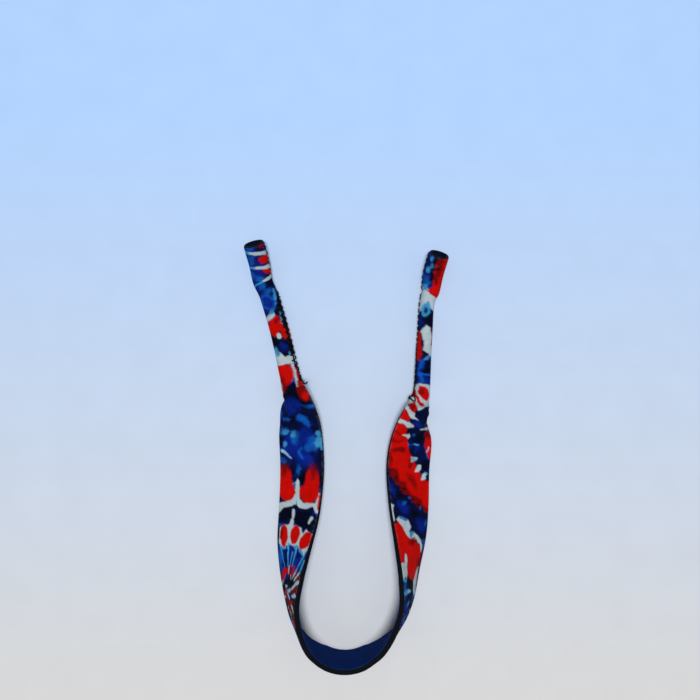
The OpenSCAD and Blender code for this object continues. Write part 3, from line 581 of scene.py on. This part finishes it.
def strip_faces(rows, columns):
    """Quads of a closed strip, whose upper points come before its lower ones."""
    top = np.arange(rows * columns).reshape(rows, columns)
    low = top + rows * columns
    a, b, c, d = top[:-1, :-1], top[1:, :-1], top[1:, 1:], top[:-1, 1:]
    e, f, g, h = low[:-1, :-1], low[:-1, 1:], low[1:, 1:], low[1:, :-1]
    cloth = [np.stack([a, b, c, d], -1).reshape(-1, 4), np.stack([e, f, g, h], -1).reshape(-1, 4)]
    rims = [np.stack([top[:-1, 0], low[:-1, 0], low[1:, 0], top[1:, 0]], -1),
            np.stack([top[:-1, -1], top[1:, -1], low[1:, -1], low[:-1, -1]], -1),
            np.stack([top[0, :-1], top[0, 1:], low[0, 1:], low[0, :-1]], -1),
            np.stack([top[-1, :-1], low[-1, :-1], low[-1, 1:], top[-1, 1:]], -1)]
    return np.concatenate(cloth + rims), sum(len(q) for q in cloth)


def outwards(verts, faces):
    """Turns the faces round if the volume that they close is negative."""
    v = verts[faces]
    volume = np.einsum("ij,ij->i", v[:, 0], np.cross(v[:, 1], v[:, 2])).sum()
    volume += np.einsum("ij,ij->i", v[:, 0], np.cross(v[:, 2], v[:, 3])).sum()
    return faces[:, ::-1] if volume < 0 else faces


def strip(name, half, s_values, upper, lower, round_end=0, printed=False):
    """Closed strip between two profiles, each a list of (tau, depth).

    It carries the knit's coordinates, how worn each point is, and a mask of painted shade that rises
    towards the sleeve's mouth.
    """
    rows = [(s, 1.0) for s in s_values]
    if round_end:
        last = s_values[-1]
        rows[-1] = (last - 0.02, 1.0)
        rows += [(last + 0.6 * round_end, 0.93), (last + round_end, 0.7)]
    tops, bottoms = [], []
    for s, k in rows:
        for points, profile in ((tops, upper), (bottoms, lower)):
            t = [a for a, _ in profile]
            depth = [d * k for _, d in profile]
            points.append(half.points(s, shy(half, s, t) if printed else t, depth))
    verts = np.concatenate([np.concatenate(tops), np.concatenate(bottoms)])
    faces, cloth_faces = strip_faces(len(rows), len(upper))
    obj = smooth_mesh(name, verts, outwards(verts, faces))
    mesh = obj.data
    crisp_rims(mesh, cloth_faces)

    s = np.array([a for a, _ in rows])[:, None]
    width = np.array([half.place(a)[4][HALF_W] for a, _ in rows])[:, None]
    tau = np.array([t for t, _ in upper])[None, :]
    S2, V2 = np.broadcast_arrays(s, width * tau)
    cloth = np.stack([half.sx * (S2 + NECK_HALF), V2], -1).reshape(-1, 2) * TO_CM
    cloth = np.concatenate([cloth, cloth])
    index = np.zeros(len(mesh.loops), np.int32)
    mesh.loops.foreach_get("vertex_index", index)
    layer = mesh.uv_layers.new(name="cloth")
    layer.data.foreach_set("uv", cloth[index].astype(np.float32).ravel())

    edge = np.exp(-((width * (1 - np.abs(tau))) / EDGE_REACH) ** 2)
    folds = np.array([half.place(a)[4][FOLD] for a, _ in rows])[:, None]
    edge = edge * (1 - 0.7 * smooth(120, 178, folds))
    mouth = np.exp(-((s - half.length) / MOUTH_REACH) ** 2)
    worn = np.maximum(edge, mouth + 0 * edge).reshape(-1)
    # painted shade: a mask rising towards the sleeve's mouth, which darkens the lining there
    mouth_shade = (0.85 * smooth(half.length - 14, half.length - 7, s) + 0 * S2).reshape(-1)
    for word, values in (("mouth_shade", mouth_shade), ("worn_edge", worn)):
        values = np.concatenate([values, values]).astype(np.float32)
        set_attribute(mesh, word, "FLOAT", "POINT", values)
    return obj, S2, V2, np.broadcast_to(width, S2.shape)


def crisp_rims(mesh, cloth_faces):
    """Keeps the cut faces, which come after the cloth faces, crisp against them."""
    rim = {key for p in mesh.polygons[cloth_faces:] for key in p.edge_keys}
    sharp = np.array([tuple(sorted(e.vertices)) in rim for e in mesh.edges])
    set_attribute(mesh, "sharp_edge", "BOOLEAN", "EDGE", sharp)


# ---------------------------------------------------------------- materials
class Look:
    """A node material with short ways to add to it. A value is a socket or a constant."""

    def __init__(self, name, colour, rough, specular):
        self.material = bpy.data.materials.new(name)
        self.material.use_nodes = True
        tree = self.material.node_tree
        self.nodes, self.links = tree.nodes, tree.links
        self.sockets = self.nodes["Principled BSDF"].inputs
        self.sockets["Base Color"].default_value = (*colour, 1)
        self.sockets["Roughness"].default_value = rough
        self.sockets["Specular IOR Level"].default_value = specular

    def feed(self, value, socket):
        if isinstance(value, (int, float)):
            socket.default_value = value
        elif isinstance(value, tuple):
            socket.default_value = (*value, 1)
        else:
            self.links.new(value, socket)

    def calc(self, op, *args, clamp=False):
        node = self.nodes.new("ShaderNodeMath")
        node.operation = op
        node.use_clamp = clamp
        for value, socket in zip(args, node.inputs):
            self.feed(value, socket)
        return node.outputs[0]

    def mix(self, kind, amount, a, b):
        node = self.nodes.new("ShaderNodeMix")
        node.data_type = "RGBA"
        node.blend_type = kind
        for value, socket in ((amount, 0), (a, 6), (b, 7)):
            self.feed(value, node.inputs[socket])
        return node.outputs[2]

    def remap(self, value, *limits):
        """Takes the first two limits to the last two."""
        node = self.nodes.new("ShaderNodeMapRange")
        for socket, limit in zip(node.inputs[1:5], limits):
            socket.default_value = limit
        self.links.new(value, node.inputs[0])
        return node.outputs[0]

    def where(self):
        return self.nodes.new("ShaderNodeTexCoord").outputs["Object"]

    def noise(self, scale, detail=3):
        node = self.nodes.new("ShaderNodeTexNoise")
        node.inputs["Scale"].default_value = scale
        node.inputs["Detail"].default_value = detail
        self.links.new(self.where(), node.inputs["Vector"])
        return node.outputs["Fac"]

    def cells(self, scale):
        node = self.nodes.new("ShaderNodeTexVoronoi")
        node.inputs["Scale"].default_value = scale
        self.links.new(self.where(), node.inputs["Vector"])
        return node.outputs["Distance"]

    def attribute(self, name, output="Fac"):
        node = self.nodes.new("ShaderNodeAttribute")
        node.attribute_name = name
        return node.outputs[output]

    def split(self, vector):
        node = self.nodes.new("ShaderNodeSeparateXYZ")
        self.links.new(vector, node.inputs[0])
        return node.outputs

    def knit(self, wale, course):
        """Height of V-shaped stitches, whose width and length are in millimetres."""
        uv = self.nodes.new("ShaderNodeUVMap")
        uv.uv_map = "cloth"
        cloth = self.split(uv.outputs[0])
        x = self.calc("MULTIPLY", cloth[1], 1 / (TO_CM * wale))
        y = self.calc("MULTIPLY", cloth[0], 1 / (TO_CM * course))
        a = self.calc("ABSOLUTE", self.calc("SUBTRACT", self.calc("FRACT", x), 0.5))
        legs = self.calc("SINE", self.calc("MULTIPLY", a, 2 * math.pi))
        phase = self.calc("ADD", y, self.calc("MULTIPLY", a, 1.3))
        loop = self.calc("COSINE", self.calc("MULTIPLY", phase, 2 * math.pi))
        return self.calc("MULTIPLY", legs, self.calc("MULTIPLY_ADD", loop, 0.4, 0.6))

    def finish(self, colour, rough, height, distance, strength):
        """Connects the colour, the roughness and a bump, and gives the material."""
        self.links.new(colour, self.sockets["Base Color"])
        self.links.new(rough, self.sockets["Roughness"])
        bump = self.nodes.new("ShaderNodeBump")
        bump.inputs["Strength"].default_value = strength
        bump.inputs["Distance"].default_value = distance
        self.links.new(height, bump.inputs["Height"])
        self.links.new(bump.outputs[0], self.sockets["Normal"])
        return self.material


def printed_jersey():
    look = Look("dyed_knit", (0.1, 0.1, 0.3), 0.88, 0.03)
    stitches = look.knit(0.52, 0.42)
    grain, patchy = look.noise(2600), look.noise(160)
    tone = look.calc("MULTIPLY", look.remap(stitches, 0, 1, 0.80, 1.10),
                     look.remap(patchy, 0.3, 0.7, 0.93, 1.07))
    base = look.mix("MULTIPLY", 1.0, look.attribute("dye", "Color"), tone)
    # undyed fibre shows as flecks, and where the edge has been rubbed
    fleck = look.remap(grain, 0.62, 0.74, 0.0, 0.045)
    rub = look.calc("MULTIPLY", look.attribute("worn_edge"),
                    look.remap(look.noise(900), 0.45, 0.65, 0.0, 0.10))
    base = look.mix("MIX", look.calc("MAXIMUM", fleck, rub, clamp=True), base, (0.42, 0.46, 0.50))
    rough = look.remap(patchy, 0.3, 0.7, 0.70, 0.86)
    return look.finish(base, rough, look.calc("MULTIPLY_ADD", grain, 0.35, stitches), 0.00007, 0.7)


def lining_jersey():
    look = Look("navy_knit", (0.002, 0.016, 0.085), 0.9, 0.02)
    stitches = look.knit(0.55, 0.45)
    grain, patchy = look.noise(2400), look.noise(120)
    tone = look.calc("MULTIPLY", look.remap(stitches, 0, 1, 0.72, 1.15),
                     look.remap(patchy, 0.3, 0.7, 0.85, 1.15))
    base = look.mix("MULTIPLY", 1.0, (0.0018, 0.024, 0.150), tone)
    lint = look.remap(grain, 0.64, 0.76, 0.0, 0.03)
    rub = look.calc("MULTIPLY", look.attribute("worn_edge"),
                    look.remap(patchy, 0.45, 0.65, 0.0, 0.05))
    base = look.mix("MIX", look.calc("MAXIMUM", lint, rub), base, (0.12, 0.18, 0.32))
    # painted shade: the lining darkens to near black inside the sleeve's mouth
    base = look.mix("MIX", look.attribute("mouth_shade"), base, (0.0012, 0.0026, 0.010))
    rough = look.remap(patchy, 0.3, 0.7, 0.74, 0.90)
    return look.finish(base, rough, look.calc("MULTIPLY_ADD", grain, 0.35, stitches), 0.00007, 0.7)


def foam():
    look = Look("closed_cell_foam", (0.004, 0.004, 0.005), 0.85, 0.025)
    cells, grain = look.cells(4200), look.noise(1500)
    tone = look.calc("MULTIPLY", look.remap(cells, 0.05, 0.6, 0.45, 1.5),
                     look.remap(grain, 0.3, 0.7, 0.7, 1.35))
    base = look.mix("MULTIPLY", 1.0, (0.0034, 0.0038, 0.0045), tone)
    rough = look.remap(grain, 0.3, 0.7, 0.5, 0.78)
    return look.finish(base, rough, look.calc("MULTIPLY_ADD", grain, 0.6, cells), 0.00012, 0.8)


def sewing_thread():
    look = Look("black_thread", (0.004, 0.004, 0.005), 0.8, 0.04)
    fuzz = look.noise(5200)
    tone = look.calc("MULTIPLY", look.remap(fuzz, 0.3, 0.7, 0.6, 1.7),
                     look.remap(look.noise(700, 2), 0.3, 0.7, 0.8, 1.3))
    base = look.mix("MULTIPLY", 1.0, (0.0036, 0.0038, 0.0045), tone)
    return look.finish(base, look.remap(fuzz, 0.3, 0.7, 0.5, 0.8), fuzz, 0.00008, 0.8)


MATERIALS = {"printed_jersey": printed_jersey(), "lining_jersey": lining_jersey(),
             "foam_core": foam(), "seam_thread": sewing_thread()}


def dress(obj, slot):
    obj.data.materials.append(MATERIALS[slot])


# ---------------------------------------------------------------- the cloth and foam
PLIES = {"outer_jersey": "printed_jersey", "foam_core": "foam_core", "lining_jersey": "lining_jersey"}
SHORT = {"outer_jersey": 0.30, "foam_core": 0, "lining_jersey": 0.6}    # of the mouth's rim
ROUND_END = {"outer_jersey": 0.10, "foam_core": 0.25, "lining_jersey": 0.10}
EDGE_DROP = 0.09                    # how far a face rolls down at its cut edge
FOAM_BULGE = [(1.006, 0.62), (1.013, 0.30)]     # tau and depth of the foam past the knit


def across_joint(obj, half, where):
    """Bakes the piece's placement into its mesh; the piece is not bent over the joint that it crosses."""
    if where == "neck":
        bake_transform(obj)
        return
    o, _, _, ahead, _, _ = half.place(half.at(SLEEVE_U))
    o, ahead = o * MM * [half.sx, 1, 0], ahead * [half.sx, 1, 0]
    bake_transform(obj)


def flat_cut(half, a, b):
    """Width, length and area of the flat cut between two distances, in metres."""
    s = np.linspace(a, b, 400)
    w = np.array([2 * half.place(x)[4][HALF_W] for x in s]) * MM
    area = ((w[1:] + w[:-1]) / 2 * np.diff(s)).sum() * MM
    return (float(w.max()), float((b - a) * MM)), float(area)


def ply_profiles(ply):
    """Upper and lower outlines of a ply's cross-section."""
    roll = EDGE_DROP * np.clip(1 - (1 - np.abs(TAUS)) * 10 / 0.7, 0, 1) ** 2
    if ply == "outer_jersey":
        return list(zip(TAUS, 1 - roll)), [(a, FOAM_K) for a in TAUS]
    if ply == "lining_jersey":
        return [(a, -FOAM_K) for a in TAUS], list(zip(TAUS, -1 + roll))
    up = [(-a, k) for a, k in reversed(FOAM_BULGE)] + [(a, FOAM_K) for a in TAUS] + FOAM_BULGE
    return up, [(a, -k) for a, k in up]


def print_dye(obj, half, s, v, width):
    """Dyes the upper points, and the ones behind them more faintly."""
    rgb = paint(half, s, half.turned(s, v / width, width) * width).reshape(-1, 3)
    rgba = np.ones((2 * len(rgb), 4), np.float32)
    rgba[:len(rgb), :3] = rgb
    rgba[len(rgb):, :3] = rgb * 0.6
    set_attribute(obj.data, "dye", "FLOAT_COLOR", "POINT", rgba.ravel(), "color")


def lay_ply(half, part, ply, a, b):
    """One ply of the neck with its limb, or of the limb's end with its sleeve."""
    flat, area = flat_cut(half, a, b)
    end = part == "end"
    last = b - SHORT[ply] if end else b
    s_values = np.linspace(a, last, int(round((last - a) / STEP)) + 1)
    printed = ply == "outer_jersey"
    obj, s, v, width = strip(f"{half.name}_{part}_{ply}", half, s_values, *ply_profiles(ply),
                             ROUND_END[ply] if end else 0, printed)
    if printed:
        print_dye(obj, half, s, v, width)
    dress(obj, PLIES[ply])
    if end:
        across_joint(obj, half, "sleeve")
        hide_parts(f"{half.name}_limb_{ply}", f"{half.name}_sleeve_{ply}")
    else:
        across_joint(obj, half, "neck")
        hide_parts(f"neck_{ply}")


for half in (left, right):
    middle = half.at(MIDDLE_U)
    for part, a, b in (("neck", -NECK_HALF, middle), ("end", middle, half.length)):
        for ply in PLIES:
            lay_ply(half, part, ply, a, b)


# ---------------------------------------------------------------- stitching
STRANDS = 2
SIDES = 6                           # of a strand
RINGS_PER_TURN = 9
# radius that a strand winds at, its own radius, and the length of one turn
THREAD = (0.00014, 0.00017, 0.0012)
LOOPER_THREAD = (0.00008, 0.0001, 0.0010)
TAIL_THREAD = (0.00017, 0.00020, 0.0014)
SEAM_START = {"left": 129.7, "right": 123.7}
SEAM_WIDTH = {"left": 2.2, "right": 2.6}
TACK_PITCH = 0.85
# routes of the loose ends, in the frame's own millimetres
TAILS = {
    "left": [(-20.6, 126.9, 5.2), (-19.8, 125.9, 5.7), (-19.2, 125.4, 7.2), (-18.7, 125.0, 8.9),
             (-18.2, 124.4, 10.5), (-17.6, 124.1, 11.6), (-17.0, 124.5, 12.1), (-16.4, 125.1, 12.0)],
    "right": [(31.3, 119.6, 5.7), (31.3, 118.4, 6.9), (31.5, 117.2, 8.3), (31.5, 116.4, 9.0),
              (31.0, 116.2, 9.3), (30.3, 116.6, 8.8), (29.7, 117.1, 8.5), (29.1, 117.3, 8.4)]}


def resampled(path, spacing):
    """The path at even steps, eased at its corners, and the distance along it."""
    path = np.asarray(path, float)
    run = np.concatenate([[0], np.cumsum(np.linalg.norm(np.diff(path, axis=0), axis=1))])
    t = np.linspace(0, run[-1], max(int(run[-1] / spacing), 8) + 1)
    p = np.stack([np.interp(t, run, path[:, k]) for k in range(3)], -1)
    for _ in range(2):
        p[1:-1] = 0.25 * p[:-2] + 0.5 * p[1:-1] + 0.25 * p[2:]
    return p, t


def carried_frame(p):
    """Normal and binormal along a path, carried on without twisting."""
    tangent = np.gradient(p, axis=0)
    tangent /= np.linalg.norm(tangent, axis=1)[:, None] + 1e-12
    normal = np.zeros_like(p)
    ref = np.array([0.0, 0.0, 1.0]) if abs(tangent[0][2]) < 0.9 else np.array([1.0, 0, 0])
    for i, ahead in enumerate(tangent):
        ref = ref - ahead * (ref @ ahead)
        ref = ref / (np.linalg.norm(ref) + 1e-12)
        normal[i] = ref
    return normal, np.cross(tangent, normal)


def twist(name, path, radius, strand, turn):
    """A thread of strands twisted round each other along a path in metres."""
    p, t = resampled(path, turn / RINGS_PER_TURN)
    p[:, 2] = np.maximum(p[:, 2], radius + strand)
    normal, binormal = carried_frame(p)
    ring = 2 * math.pi * np.arange(SIDES) / SIDES
    size = strand * np.ones(len(p))
    size[0] = size[-1] = strand * 0.6
    verts, faces = [], []
    for k in range(STRANDS):
        angle = 2 * math.pi * (t / turn + k / STRANDS)
        centre = p + radius * (np.cos(angle)[:, None] * normal + np.sin(angle)[:, None] * binormal)
        rim = (np.cos(ring)[None, :, None] * normal[:, None, :]
               + np.sin(ring)[None, :, None] * binormal[:, None, :])
        verts.append((centre[:, None, :] + size[:, None, None] * rim).reshape(-1, 3))
        first = k * len(p) * SIDES
        last = first + (len(p) - 1) * SIDES
        for base in range(first, last, SIDES):
            for j in range(SIDES):
                n = (j + 1) % SIDES
                faces.append((base + j, base + n, base + SIDES + n, base + SIDES + j))
        faces.append(tuple(first + j for j in reversed(range(SIDES))))
        faces.append(tuple(last + j for j in range(SIDES)))
    return smooth_mesh(name, np.concatenate(verts), faces)


def by_seam(half, s, w, rise, face=1):
    """Point w millimetres across the seam and rise out of the printed face, or the lining at -1."""
    S = half.place(s)[4]
    tau = (1 if w >= 0 else -1) - w / S[HALF_W]
    return half.points(s, [tau], [face * (1 + rise / (S[SHARE] * HALF_T))])[0]


def zigzag(half, a, b, pitch, width, seed):
    """Path of a zigzag from a to b, which dips into the cloth at each hole."""
    rng = np.random.default_rng(seed)
    count = int(round((b - a) / (pitch / 2)))
    holes = []
    for i in range(count + 1):
        s = a + (b - a) * i / count + rng.uniform(-0.06, 0.06)
        holes.append((s, (width / 2 + rng.uniform(-0.08, 0.08)) * (1 if i % 2 else -1)))
    path = []
    for (s0, w0), (s1, w1) in zip(holes, holes[1:]):
        for t in np.linspace(0, 1, 10)[:-1]:
            rise = -0.16 + 0.46 * math.sin(math.pi * t) ** 0.6
            path.append(by_seam(half, s0 + (s1 - s0) * t, w0 + (w1 - w0) * t, rise))
    return path


def curve_through(points, count=60):
    """Smooth curve through the points."""
    P = np.array(points, float)
    last = len(P) - 1
    out = []
    for i in range(last):
        a, b, c, d = P[max(i - 1, 0)], P[i], P[i + 1], P[min(i + 2, last)]
        out += [spline(a, b, c, d, f) for f in np.linspace(0, 1, count // last + 1)[:-1]]
    return np.array(out + [P[-1]])


def sew(half):
    start, end, width = SEAM_START[half.name], half.length - 0.9, SEAM_WIDTH[half.name]
    seam = zigzag(half, start + 2.6, end, STITCH_PITCH, width, 5)
    tack = zigzag(half, start - 0.6, start + 2.4, TACK_PITCH, width * 0.85, 6)
    inner = [by_seam(half, s, 0.35 * math.sin(s * 2.4), 0.16, -1)
             for s in np.arange(start + 6, half.length - 0.5, 0.35)]
    tail = curve_through(TAILS[half.name]) * MM
    for piece, node, path, thread in (
            ("needle_thread", "seam_needle_thread", seam, THREAD),
            ("bartack_thread", "seam_bartack", tack, THREAD),
            ("looper_thread", "seam_looper_thread", inner, LOOPER_THREAD),
            ("thread_tail", "thread_tail", tail, TAIL_THREAD)):
        obj = twist(f"{half.name}_{piece}", path, *thread)
        dress(obj, "seam_thread")
        across_joint(obj, half, "sleeve")
        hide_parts(f"{half.name}_{node}")


sew(left)
sew(right)

# ---------------------------------------------------------------- stage
FLOOR_HALF = 1.6
FLOOR_CELLS = 24
FLOOR_GREY, FLOOR_BLUE = (217, 217, 217), (179, 212, 255)
FLOOR_FADE = (-0.017, 0.245)        # y where the floor is grey, and where it is blue
LIGHT_PLACE = (0.0, 0.14, 1.7)      # straight above, and facing down
CAMERA_PLACE = (0.0023, 0.1391, 0.322)


def floor():
    n = FLOOR_CELLS
    xs = np.linspace(-FLOOR_HALF, FLOOR_HALF, n + 1)
    corners = [j * (n + 1) + i for j in range(n) for i in range(n)]
    mesh = bpy.data.meshes.new("floor")
    mesh.from_pydata([(x, y + 0.1, -0.00005) for y in xs for x in xs], [],
                     [(c, c + 1, c + n + 2, c + n + 1) for c in corners])
    obj = new_object("floor", mesh)
    look = Look("pale_floor", (0.6, 0.65, 0.7), 0.9, 0.1)
    fade = look.remap(look.split(look.where())[1], *FLOOR_FADE, 0, 1)
    base = look.mix("MIX", fade, tuple(0.93 * linear(FLOOR_GREY)), tuple(0.93 * linear(FLOOR_BLUE)))
    paper = look.remap(look.noise(60, 4), 0.3, 0.7, 0.985, 1.015)
    look.links.new(look.mix("MULTIPLY", 1.0, base, paper), look.sockets["Base Color"])
    mesh.materials.append(look.material)


floor()
scene = bpy.context.scene
key = bpy.data.lights.new("key", "AREA")
key.shape, key.size, key.energy = "DISK", 0.5, 23.6
new_object("key", key).location = LIGHT_PLACE
world = bpy.data.worlds.new("studio")
world.use_nodes = True
background = world.node_tree.nodes["Background"].inputs
background[0].default_value = (0.98, 0.99, 1.0, 1)
background[1].default_value = 0.28
scene.world = world
scene.view_settings.view_transform = "Standard"

camera_data = bpy.data.cameras.new("camera")
camera_data.lens, camera_data.sensor_width = 36, 36
camera_data.clip_start = 0.01
camera = new_object("camera", camera_data)
camera.location = CAMERA_PLACE
scene.camera = camera
